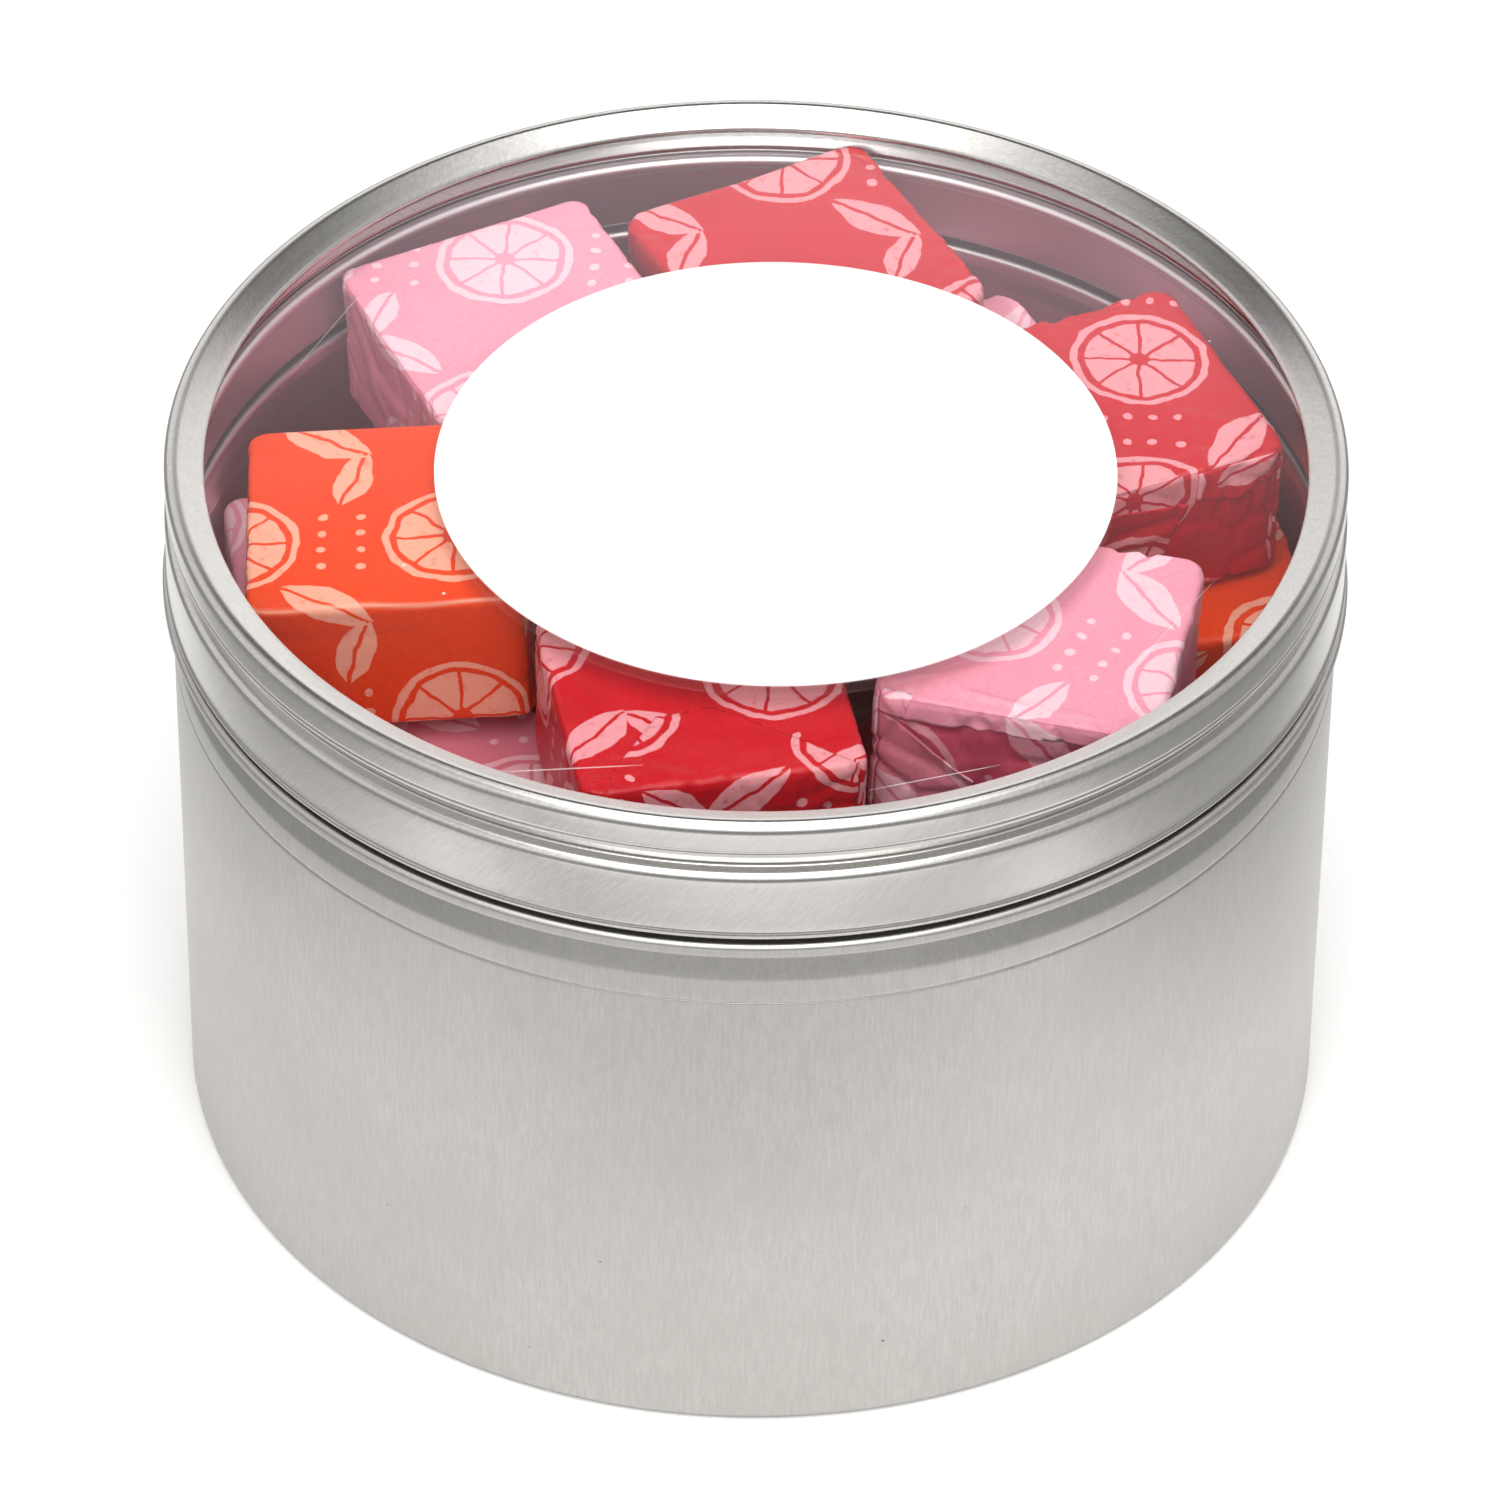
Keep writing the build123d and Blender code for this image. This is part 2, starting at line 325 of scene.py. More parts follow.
def arc_on(line, radius, sweep, deg=9.0):
    """Goes on from the line's end in an arc; sweep in degrees, anticlockwise is positive."""
    p, d = line[-1], line[-1] - line[-2]
    d = d / np.linalg.norm(d)
    side = 1.0 if sweep > 0 else -1.0
    c = p + np.array([-d[1], d[0]]) * side * radius
    a0 = math.atan2(*(p - c)[::-1])
    n = max(3, math.ceil(abs(sweep) / deg))
    return line + [c + radius * np.array([math.cos(a0 + math.radians(sweep) * j / n), math.sin(a0 + math.radians(sweep) * j / n)]) for j in range(1, n + 1)]


def about(c, radius, a0, a1, deg=9.0):
    n = max(3, math.ceil(abs(a1 - a0) / deg))
    return [np.array(c) + radius * np.array([math.cos(math.radians(a0 + (a1 - a0) * j / n)), math.sin(math.radians(a0 + (a1 - a0) * j / n))]) for j in range(n + 1)]


def tidy(line, longest):
    """No doubled points, and no step longer than that."""
    out = [np.array(line[0], float)]
    for p in line[1:]:
        p = np.array(p, float)
        gap = np.linalg.norm(p - out[-1])
        if gap < 1e-4:
            continue
        n = max(1, math.ceil(gap / longest(p, out[-1])))
        a = out[-1]
        out += [a + (p - a) * j / n for j in range(1, n + 1)]
    return np.array(out)


def lathe(name, centre, half, mat, segs, waves, seed):
    """Turns a sheet of even thickness about Z. Its two faces and its cut ends close up into one solid."""
    d = np.diff(centre, axis=0)
    d /= np.linalg.norm(d, axis=1)[:, None]
    tan = np.vstack([d[:1], d[:-1] + d[1:], d[-1:]])
    tan /= np.linalg.norm(tan, axis=1)[:, None]
    nrm = np.stack([-tan[:, 1], tan[:, 0]], 1)
    s = np.concatenate([[0.0], np.cumsum(np.linalg.norm(np.diff(centre, axis=0), axis=1))])
    right, left = centre - nrm * half, centre + nrm * half
    e = 0.02                                       # points close to the cut end keep its corners crisp
    end_r, end_l = right[-1] + tan[-1] * 0, left[-1]
    cap1 = [end_r + nrm[-1] * e, end_l - nrm[-1] * e]
    pole = centre[0][0] < 1e-6
    prof = list(right) + cap1 + list(left[::-1])
    along = list(s) + [s[-1]] * 2 + list(s[::-1])
    if not pole:
        prof += [left[0] - nrm[0] * e, right[0] + nrm[0] * e]
        along += [0.0, 0.0]
    prof, along = np.array(prof), np.array(along)
    rng = np.random.default_rng(seed)
    th = np.linspace(0, 2 * np.pi, segs, endpoint=False)
    dr, dz = np.zeros(segs), np.zeros(segs)
    for k in range(2, 9):                          # pressed sheet is never quite round or flat
        dr += rng.normal() * np.cos(k * th + rng.uniform(0, 6.3)) / k
        dz += rng.normal() * np.cos(k * th + rng.uniform(0, 6.3)) / k
    dr *= waves[0] / max(1e-9, np.abs(dr).max())
    dz *= waves[1] / max(1e-9, np.abs(dz).max())
    verts, vs, rings = [], [], []
    for i, ((r, z), a) in enumerate(zip(prof, along)):
        if r < 1e-6:
            rings.append([len(verts)])
            verts.append((0.0, 0.0, z))
            vs.append(a)
            continue
        f = min(1.0, max(0.0, (z - 2.0) / 30.0))
        rr, zz = r + dr * f, z + dz * f
        rings.append(list(range(len(verts), len(verts) + segs)))
        verts += list(zip(rr * np.cos(th), rr * np.sin(th), zz))
        vs += [a] * segs
    faces = []
    last = len(rings) - (1 if pole else 0)
    for i in range(last):
        A, B = rings[i], rings[(i + 1) % len(rings)]
        for j in range(segs):
            j2 = (j + 1) % segs
            if len(A) == 1 and len(B) == 1:
                continue
            if len(A) == 1:
                faces.append((A[0], B[j2], B[j]))
            elif len(B) == 1:
                faces.append((A[j], A[j2], B[0]))
            else:
                faces.append((A[j], A[j2], B[j2], B[j]))
    me = bpy.data.meshes.new(name)
    V = np.array(verts) * MM
    me.from_pydata([tuple(v) for v in V.tolist()], [], faces)
    at = me.attributes.new("along", "FLOAT", "POINT")
    at.data.foreach_set("value", np.array(vs, np.float32))
    me.polygons.foreach_set("use_smooth", [True] * len(me.polygons))
    vol = sum(float(V[f[0]] @ np.cross(V[f[j]], V[f[j + 1]])) for f in faces[::97] for j in range(1, len(f) - 1))
    if vol < 0:
        me.flip_normals()
    me.materials.append(mat)
    me.update()
    o = bpy.data.objects.new(name, me)
    scene.collection.objects.link(o)
    return o


can_line = bend([(0.0, 0.75), (34.6, 0.75), (35.5, 0.15), (39.25, 0.15), (39.25, 39.30), (38.75, 41.00),
                 (38.75, 41.90), (39.85, 41.90), (39.85, 42.70), (38.97, 42.70), (38.97, 47.85)],
                [0.5, 0.5, 0.5, 1.4, 0.8, 0.30, 0.20, 0.22, 0.30])
can_line += about((38.52, 47.85), 0.45, 0, 265, 12)[1:]
# the faint scored line is pressed into the sheet
wall_steps = [37.16, 37.30, 37.40, 37.46, 37.50, 37.54, 37.60, 37.70, 37.84]
k = next(i for i, p in enumerate(can_line) if abs(p[0] - 39.25) < 1e-6 and p[1] > 37.0)
can_line[k:k] = [np.array([39.25, z_]) for z_ in wall_steps]
can_pts = tidy(can_line, lambda p, q: 3.0 if max(p[1], q[1]) < 37.0 else 0.7)
dent = -0.055 * np.exp(-((can_pts[:, 1] - 37.50) / 0.09) ** 2)
on_wall = np.abs(can_pts[:, 0] - 39.25) < 1e-6
can_pts[:, 0] += np.where(on_wall, dent, 0.0)
can_shell = lathe("tin_body_skin", can_pts, 0.15, can_metal, 264, (0.02, 0.02), 5)
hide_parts("tin_body")
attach(can_shell, "tin")

a25 = math.radians(25.0)
lid_line = [np.array([38.0039, 51.6686]), np.array([37.3695, 51.3727])]
lid_line += about((37.285, 51.554), 0.20, -65.0, -245.0, 12)[1:]
lid_line += [np.array([38.6164, 52.3938])]
lid_line += about((38.87, 51.85), 0.60, 115.0, 0.0, 6)[1:]
lid_line += bend([(39.47, 51.85), (39.47, 50.150), (38.7025, 49.0295)], [0.30], 7)[1:]
lid_line = arc_on(lid_line, 0.30, 104.4, 8)
lid_line += [np.array([39.2081, 48.4468])]
lid_line = arc_on(lid_line, 0.55, -70.0, 6)
lid_line += [np.array([39.57, 43.95])]
lid_line = arc_on(lid_line, 0.5, 35.0, 7)
lid_line = arc_on(lid_line, 0.20, -125.0, 12)
k = next(i for i, p in enumerate(lid_line) if abs(p[0] - 39.47) < 1e-6 and p[1] < 50.5)
lid_line[k:k] = [np.array([39.47, z_]) for z_ in (50.62, 50.54, 50.49, 50.45, 50.42, 50.39, 50.35, 50.30)]
lid_pts = tidy(lid_line, lambda p, q: 0.55)
on_band = (np.abs(lid_pts[:, 0] - 39.47) < 1e-6) & (lid_pts[:, 1] > 50.0)
lid_pts[:, 0] -= np.where(on_band, 0.050 * np.exp(-((lid_pts[:, 1] - 50.42) / 0.06) ** 2), 0.0)   # a fine line pressed round the band
lid_shell = lathe("lid_ring_skin", lid_pts, 0.15, lid_metal, 288, (0.012, 0.012), 11)
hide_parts("lid_ring")
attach(lid_shell, "lid")


def dress(node, mat):
    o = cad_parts[node]
    for s_ in o.material_slots:
        s_.material = mat
    if not o.material_slots:
        o.data.materials.append(mat)


# --------------------------------------------------------------- clear window
wm, nt, b = material("window_clear")
x, y, z = place_mm(nt)
out = nt.nodes["Material Output"]
b.inputs["Base Color"].default_value = (1.0, 1.0, 1.0, 1)
b.inputs["Metallic"].default_value = 1.0
b.inputs["Roughness"].default_value = 0.03
lw = nt.nodes.new("ShaderNodeLayerWeight")
lw.inputs["Blend"].default_value = 0.5
face = X(nt, lw.outputs["Facing"])
sv = voronoi(nt, join_xyz(nt, x, y, z * 0.2), 0.28)
specks = X(nt, sv.outputs["Distance"]).step(0.05, 0.02) * X(nt, sv.outputs["Color"]).step(0.62, 0.64)


def scratch(ax, ay, bx, by, wide):
    """A straight hair scratch between two points, thinner toward its ends."""
    dx, dy = bx - ax, by - ay
    n2 = dx * dx + dy * dy
    h = ((x - ax) * (dx / n2) + (y - ay) * (dy / n2))
    t = h.max(0.0).min(1.0)
    ex, ey = x - ax - t * dx, y - ay - t * dy
    dist = (ex * ex + ey * ey).sqrt()
    return dist.step(wide, wide * 0.35) * (t.step(0.0, 0.25) * t.step(1.0, 0.8) * 0.7 + 0.3)


hair = scratch(-16.26, -32.64, -7.16, -31.81, 0.09).max(scratch(7.47, -34.07, 15.84, -31.46, 0.07))
upper = z.step(50.9, 51.05)                      # marks lie on the outer face only
hair = hair.max(scratch(-31.5, 9.0, -27.0, 18.5, 0.05) * 0.6).max(scratch(24.0, -22.5, 30.5, -12.0, 0.05) * 0.5)
smear = noise(nt, join_xyz(nt, x * 0.05, y * 0.11, 3.0), 1.0, 3.0, 0.6, 0.8)
clear = nt.nodes.new("ShaderNodeBsdfTransparent")
clear.inputs[0].default_value = (0.985, 0.985, 0.988, 1)
dust = nt.nodes.new("ShaderNodeBsdfDiffuse")
dust.inputs[0].default_value = (0.95, 0.95, 0.95, 1)
m0 = nt.nodes.new("ShaderNodeMixShader")
m1 = nt.nodes.new("ShaderNodeMixShader")
nt.links.new((face.pow(4.0) * 0.90 + 0.040).clamp().s, m0.inputs[0])
nt.links.new(clear.outputs[0], m0.inputs[1])
nt.links.new(b.outputs[0], m0.inputs[2])
nt.links.new((upper * (specks * 0.45 + hair * 0.30 + smear.step(0.45, 0.8) * 0.004)).clamp().s, m1.inputs[0])
nt.links.new(m0.outputs[0], m1.inputs[1])
nt.links.new(dust.outputs[0], m1.inputs[2])
nt.links.new(m1.outputs[0], out.inputs["Surface"])
dress("window_pane", wm)

# ---------------------------------------------------------------- paper label
lm, nt, b = material("label_white")
x, y, z = place_mm(nt)
fib = noise(nt, join_xyz(nt, x * 4.0, y * 4.0, z), 1.0, 4.0, 0.6)
nt.links.new(mix_rgb(nt, fib, (0.97, 0.97, 0.97), (0.985, 0.985, 0.985)), b.inputs["Base Color"])
nt.links.new((fib * 0.15 + 0.55).s, b.inputs["Roughness"])
b.inputs["Specular IOR Level"].default_value = 0.3
bump(nt, b, fib, 0.12, 0.01)
glow = nt.nodes.new("ShaderNodeBsdfTranslucent")   # thin paper lets light through to the chews
glow.inputs[0].default_value = (0.97, 0.96, 0.95, 1)
m0 = nt.nodes.new("ShaderNodeMixShader")
m0.inputs[0].default_value = 0.38
nt.links.new(b.outputs[0], m0.inputs[1])
nt.links.new(glow.outputs[0], m0.inputs[2])
nt.links.new(m0.outputs[0], nt.nodes["Material Output"].inputs["Surface"])
dress("label_disc", lm)


# -------------------------------------------------------------- wrapped chews
TILE_U, TILE_V = 17.0, 15.0


def wrapper(name, base, deep, ink, seed, gloss):
    """Waxed paper with a generic print: citrus slices, leaves and rows of dots."""
    mt, nt, b = material(name)
    uvn = nt.nodes.new("ShaderNodeUVMap")
    uvn.uv_map = "wrap"
    sp = nt.nodes.new("ShaderNodeSeparateXYZ")
    nt.links.new(uvn.outputs[0], sp.inputs[0])
    u, v = X(nt, sp.outputs[0]), X(nt, sp.outputs[1])
    wob = noise(nt, join_xyz(nt, u * 0.40, v * 0.40, seed + 21.0), 1.0, 2.0, 0.5)
    wob2 = noise(nt, join_xyz(nt, v * 0.40, u * 0.40, seed + 27.0), 1.0, 2.0, 0.5)
    u, v = u + (wob - 0.5) * 0.9, v + (wob2 - 0.5) * 0.9      # the print follows the creased paper
    # the deep attribute: above zero it darkens the wrapper toward crimson, partly for doubled paper and partly as
    # painted shade; below zero it gives a painted highlight in ink colour
    shade = attribute(nt, "deep")
    folded, pale = shade.max(0.0), (-shade).max(0.0)
    P, Q = TILE_U, TILE_V
    cu = ((u / P).fract() - 0.5) * P
    cv = ((v / Q).fract() - 0.5) * Q
    # citrus slice
    r = (cu * cu + cv * cv).sqrt()
    th = cv.atan2(cu)
    ring = r.band(4.25, 4.75, 0.05)
    seg = ((th * 4.0).sin().abs() * r).step(0.42, 0.56) * r.band(0.7, 3.8, 0.06)
    slice_ = ring.max(seg)
    # a leaf on each side of the tile's corner, with a bare midrib
    du = ((u / P + 0.5).fract() - 0.5) * P
    dv = ((v / Q + 0.5).fract() - 0.5) * Q

    def leaf(ox, oy, deg, length, width):
        c, s_ = math.cos(math.radians(deg)), math.sin(math.radians(deg))
        la = ((du - ox) * c + (dv - oy) * s_) / length
        lb = (dv - oy) * c - (du - ox) * s_
        body = ((1.0 - la * la) * width - lb.abs()).step(-0.04, 0.06)
        return body * lb.abs().step(0.10, 0.18)

    leaves = leaf(-2.0, -1.0, 58.0, 3.7, 1.55).max(leaf(2.2, 0.8, -18.0, 3.0, 1.25))
    # rows of little dots between
    pu = ((u / 1.7).fract() - 0.5) * 1.7
    pv = ((v / Q).fract() - 0.5) * Q
    row = pv.abs() - 6.2
    dots = (pu * pu + row * row).sqrt().step(0.36, 0.26) * (du.abs().step(5.4, 5.6))
    motif = slice_.max(leaves).max(dots)
    rub = noise(nt, join_xyz(nt, u * 1.3, v * 1.3, seed), 1.0, 4.0, 0.7)
    fibre = noise(nt, join_xyz(nt, u * 7.0, v * 2.0, seed + 3.0), 1.0, 4.0, 0.65)
    blot = noise(nt, join_xyz(nt, u * 0.22, v * 0.22, seed + 7.0), 1.0, 2.0, 0.5)
    motif = motif * (rub.step(0.24, 0.46) * 0.75 + 0.25)
    ground = mix_rgb(nt, fibre.step(0.25, 0.80) * 0.75 + 0.25, deep, base)
    ground = mix_rgb(nt, blot.step(0.38, 0.8) * 0.30, ground, deep)
    # painted shade, partly doubled paper: the ground turns a darker crimson and the print fades
    ground = mix_rgb(nt, folded.clamp(), ground, tuple(c * f for c, f in zip(deep, (0.62, 0.30, 0.36))))
    col = mix_rgb(nt, motif * 0.80 * (1.0 - folded.clamp() * 0.6), ground, ink)
    # painted highlight where the deep attribute is below zero
    col = mix_rgb(nt, pale.clamp(), col, ink)
    nt.links.new(col, b.inputs["Base Color"])
    nt.links.new((0.32 - blot * 0.08 + fibre * 0.12).s, b.inputs["Roughness"])
    b.inputs["Specular IOR Level"].default_value = gloss
    b.inputs["Coat Weight"].default_value = 0.03
    b.inputs["Coat Roughness"].default_value = 0.22
    h = bump(nt, b, fibre, 0.20, 0.03)
    crumple = noise(nt, join_xyz(nt, u * 0.75, v * 0.75, seed + 11.0), 1.0, 5.0, 0.62, 0.5)
    # fine parallel ribs of the waxed paper
    rib = noise(nt, join_xyz(nt, u * 0.5, v * 5.5, seed + 15.0), 1.0, 2.0, 0.5)
    h = bump(nt, b, rib, 0.22, 0.05, h)
    bump(nt, b, crumple, 0.32, 0.16, h)
    return mt


wraps = {
    "pink": wrapper("wrapper_pink_paper", (0.890, 0.400, 0.490), (0.820, 0.250, 0.340), (0.940, 0.660, 0.715), 1.0, 0.30),
    "red": wrapper("wrapper_red_paper", (0.660, 0.009, 0.018), (0.460, 0.004, 0.010), (0.860, 0.400, 0.430), 2.0, 0.30),
    "orange": wrapper("wrapper_orange_paper", (0.890, 0.074, 0.004), (0.700, 0.040, 0.003), (0.940, 0.500, 0.350), 3.0, 0.18),
}

# name: centre, direction of one side, direction out of the broad face (as in the frame)
CHEWS = {
    "pink_chew_1": ((-16.62, 19.96, 43.46), (0.9014, 0.4304, 0.0468), (-0.0365, -0.0320, 0.9988)),
    "red_chew_1": ((3.20, 24.73, 44.85), (0.8756, 0.4829, 0.0098), (0.0094, -0.0373, 0.9993)),
    "red_chew_2": ((23.48, 9.76, 43.89), (0.9103, 0.4139, -0.0004), (0.0136, -0.0289, 0.9995)),
    "pink_chew_2": ((18.66, -14.77, 43.93), (0.9781, -0.2055, -0.0337), (0.0300, -0.0212, 0.9993)),
    "red_chew_3": ((-3.60, -21.34, 43.74), (0.9808, 0.1948, -0.0066), (0.0075, -0.0036, 1.0000)),
    "orange_chew_1": ((-24.46, -3.63, 43.99), (0.9983, 0.0377, 0.0455), (-0.0447, -0.0235, 0.9987)),
    "orange_chew_2": ((-1.50, 1.79, 43.32), (0.9787, 0.2051, 0.0029), (-0.0007, -0.0109, 0.9999)),
    "pink_chew_3": ((-26.25, 4.99, 32.00), (0.9915, 0.1301, -0.0077), (0.0054, 0.0177, 0.9998)),
    "orange_chew_3": ((27.39, 6.75, 32.71), (0.9735, 0.2288, -0.0048), (0.0098, -0.0208, 0.9997)),
    "pink_chew_4": ((20.81, -14.84, 32.60), (0.9330, -0.3600, -0.0014), (-0.0039, -0.0142, 0.9999)),
    "pink_chew_5": ((-20.27, -18.18, 31.85), (0.8495, 0.5275, 0.0023), (-0.0055, 0.0045, 1.0000)),
    "pink_chew_6": ((11.55, 23.23, 32.96), (0.7954, -0.6058, -0.0210), (-0.0651, -0.1197, 0.9907)),
    "red_chew_4": ((-25.87, 6.38, 6.50), (-0.0091, 1.0, 0.0), (0.0, 0.0, 1.0)),
    "orange_chew_4": ((-0.16, -25.10, 6.50), (-0.4332, 0.9013, 0.0), (0.0, 0.0, 1.0)),
    "pink_chew_7": ((20.27, 17.28, 6.50), (0.6123, 0.7907, 0.0), (0.0, 0.0, 1.0)),
    "red_chew_5": ((21.22, -16.80, 6.50), (0.4559, 0.8900, 0.0), (0.0, 0.0, 1.0)),
    "orange_chew_5": ((3.43, 25.16, 10.75), (-0.6617, -0.7497, 0.0), (-0.7497, 0.6617, 0.0)),
    "pink_chew_8": ((-20.75, -15.67, 6.50), (-0.9195, 0.3931, 0.0), (0.0, 0.0, 1.0)),
    "red_chew_6": ((14.38, 0.72, 17.50), (0.7958, -0.6056, 0.0), (0.0, 0.0, 1.0)),
    "red_chew_7": ((-24.83, 10.84, 17.50), (-0.4114, -0.9115, 0.0), (0.0, 0.0, 1.0)),
    "pink_chew_9": ((7.45, -20.81, 17.50), (0.4545, 0.8907, 0.0), (0.0, 0.0, 1.0)),
    "pink_chew_10": ((5.80, -0.99, 6.50), (-0.9131, 0.4077, 0.0), (0.0, 0.0, 1.0)),
    "red_chew_8": ((-14.06, 28.91, 10.75), (-0.8996, -0.4367, 0.0), (0.4367, -0.8996, 0.0)),
    "orange_chew_6": ((-19.62, -17.24, 17.50), (-0.3657, -0.9307, 0.0), (0.0, 0.0, 1.0)),
}

HALF = np.array([9.5, 9.5, 5.25])      # half of a chew's sides and thickness
CORNER, EDGE = 1.5, 0.6

# ends: the pair of sides folded shut. creased, ends_creased: how crumpled the paper is.
# ridge: lines of the laid-flat wrapper (x and y of the broad face, running on down the sides) with height and width.
# flap: doubled paper with a free edge of its own.
LOOK = {
    "pink_chew_1": dict(ends="x", turn=-62, shift=(3.0, 6.5), creased=0.35, ends_creased=0.7,
                        ridge=[([(-9.2, -6.0), (-7.6, -9.4), (-7.0, -14.0)], 0.16, 0.35), ([(9.0, 5.0), (8.6, -2.0)], 0.10, 0.4)]),
    "red_chew_1": dict(ends="x", turn=118, shift=(2.0, 9.0), creased=0.40, ends_creased=1.0,
                       ridge=[([(9.3, -3.0), (6.8, -6.0), (5.2, -9.5)], 0.22, 0.30), ([(9.4, -6.6), (7.6, -8.2), (7.0, -9.6)], -0.20, 0.28),
                              ([(4.8, 9.0), (7.4, 5.5), (9.4, 4.0)], 0.14, 0.30)]),
    "red_chew_2": dict(ends="y", turn=25, shift=(6.0, 3.0), creased=0.65, ends_creased=1.4,
                       ridge=[([(4.3, -3.4), (3.1, -9.0), (2.5, -12.9)], 0.22, 0.30), ([(4.3, -3.4), (7.5, -6.2), (9.4, -7.0)], 0.18, 0.32),
                              ([(-8.8, -9.2), (-2.0, -9.9), (2.3, -12.4)], -0.16, 0.30), ([(8.9, -9.5), (8.4, -14.0), (8.9, -19.3)], -0.25, 0.35),
                              ([(-9.2, -13.0), (-3.0, -16.5), (-1.0, -19.5)], 0.20, 0.32)],
                       flap=[([(2.6, -9.6), (8.9, -9.5), (9.1, -11.4), (5.5, -12.8), (2.5, -11.8)], 0.0, 40.0, (3.0, 2.0), 0.10),
                             ([(-9.0, -10.4), (2.0, -12.2), (0.2, -16.0), (-9.0, -19.0)], 0.35, 70.0, (9.0, 1.0), 0.08)]),
    "pink_chew_2": dict(ends="y", turn=-75, shift=(9.0, 4.0), creased=0.55, ends_creased=1.6,
                        ridge=[([(-5.3, -6.5), (-3.4, -7.8), (0.9, -8.2), (7.9, -8.3)], 0.26, 0.30), ([(-9.3, -8.0), (-5.3, -6.5), (-1.0, -3.6)], 0.16, 0.32),
                               ([(9.4, -1.0), (7.6, -4.0), (7.9, -8.3)], 0.16, 0.32), ([(9.5, 4.0), (12.0, 3.0), (17.0, 3.6)], 0.24, 0.40),
                               ([(9.5, -2.5), (12.0, -3.2), (17.0, -2.6)], 0.22, 0.40), ([(-9.4, -8.8), (-6.0, -12.2), (-2.5, -15.6)], 0.24, 0.26)],
                        flap=[([(-9.4, -8.9), (-6.7, -8.8), (-7.2, -11.2), (-9.4, -11.1)], 0.0, 20.0, (1.0, 8.0), 0.12),
                              ([(-7.4, -9.4), (8.4, -9.4), (5.3, -10.9), (-7.2, -11.3)], 0.0, -75.0, (9.0, 4.0), 0.10),
                              ([(-9.3, -10.6), (-2.3, -15.6), (-3.6, -19.4), (-9.3, -19.6)], 0.45, 15.0, (5.0, 5.0), 0.08)],
                        # the front face below this line is darkened: doubled end paper and painted shade
                        folded_shaded_front=-10.8),
    "red_chew_3": dict(ends="y", turn=20, shift=(4.0, 5.0), creased=0.45, ends_creased=0.9,
                       ridge=[([(-9.3, 4.0), (-6.0, -2.0), (-3.4, -2.5)], 0.14, 0.30), ([(0.4, -2.0), (2.0, 4.0), (1.0, 9.0)], -0.12, 0.30),
                              ([(-9.5, 6.0), (-12.0, 2.0), (-17.0, 4.0)], 0.26, 0.40), ([(-9.5, -4.0), (-12.5, -5.0), (-18.0, -2.0)], 0.24, 0.40),
                              ([(5.2, -6.3), (7.0, -3.0), (9.4, -2.2)], 0.12, 0.30)],
                       flap=[([(-9.2, -14.5), (-8.2, -9.7), (-6.9, -7.1), (-3.4, -2.5), (0.4, -2.0), (5.2, -6.15), (8.8, -9.4), (9.2, -14.5)], 0.0, 200.0, (3.0, 4.0), 0.11)]),
    # tone darkens this whole wrapper: painted shade, as it lies in shadow
    "pink_chew_5": dict(ends="x", turn=33, shift=(3.0, 8.0), creased=0.8, ends_creased=1.2, tone=0.55),
    "pink_chew_6": dict(ends="y", turn=150, shift=(3.0, 3.0), creased=0.7, ends_creased=1.2, puff=((18.2, 29.7), 3.9, 2.7)),
    "orange_chew_1": dict(ends="x", turn=90, shift=(6.0, 3.0), creased=0.22, ends_creased=0.7, painted_edge_highlight=0.6,
                          ridge=[([(-9.3, -8.9), (0.0, -9.45), (9.3, -9.1)], 0.10, 0.30), ([(-9.4, -11.5), (-6.0, -12.3), (2.0, -11.9)], -0.06, 0.35)]),
}


def lattice(n, k):
    """The surface points and quads of an n x n x k block, as integer indices."""
    ids, pts, quads = {}, [], []

    def at(i, j, l):
        key = (i, j, l)
        if key not in ids:
            ids[key] = len(pts)
            pts.append(key)
        return ids[key]

    for i in range(n):
        for j in range(n):
            quads.append((at(i, j, k), at(i + 1, j, k), at(i + 1, j + 1, k), at(i, j + 1, k), 0))
            quads.append((at(i, j, 0), at(i, j + 1, 0), at(i + 1, j + 1, 0), at(i + 1, j, 0), 5))
    for i in range(n):
        for l in range(k):
            quads.append((at(i, 0, l), at(i + 1, 0, l), at(i + 1, 0, l + 1), at(i, 0, l + 1), 1))
            quads.append((at(i, n, l), at(i, n, l + 1), at(i + 1, n, l + 1), at(i + 1, n, l), 2))
            quads.append((at(0, i, l), at(0, i, l + 1), at(0, i + 1, l + 1), at(0, i + 1, l), 3))
            quads.append((at(n, i, l), at(n, i + 1, l), at(n, i + 1, l + 1), at(n, i, l + 1), 4))
    return np.array(pts, float), np.array(quads, int)


def crowd(t, k=0.55):
    """Even steps -1..1 drawn closer together near the ends."""
    return t + k * np.sin(np.pi * t) / np.pi


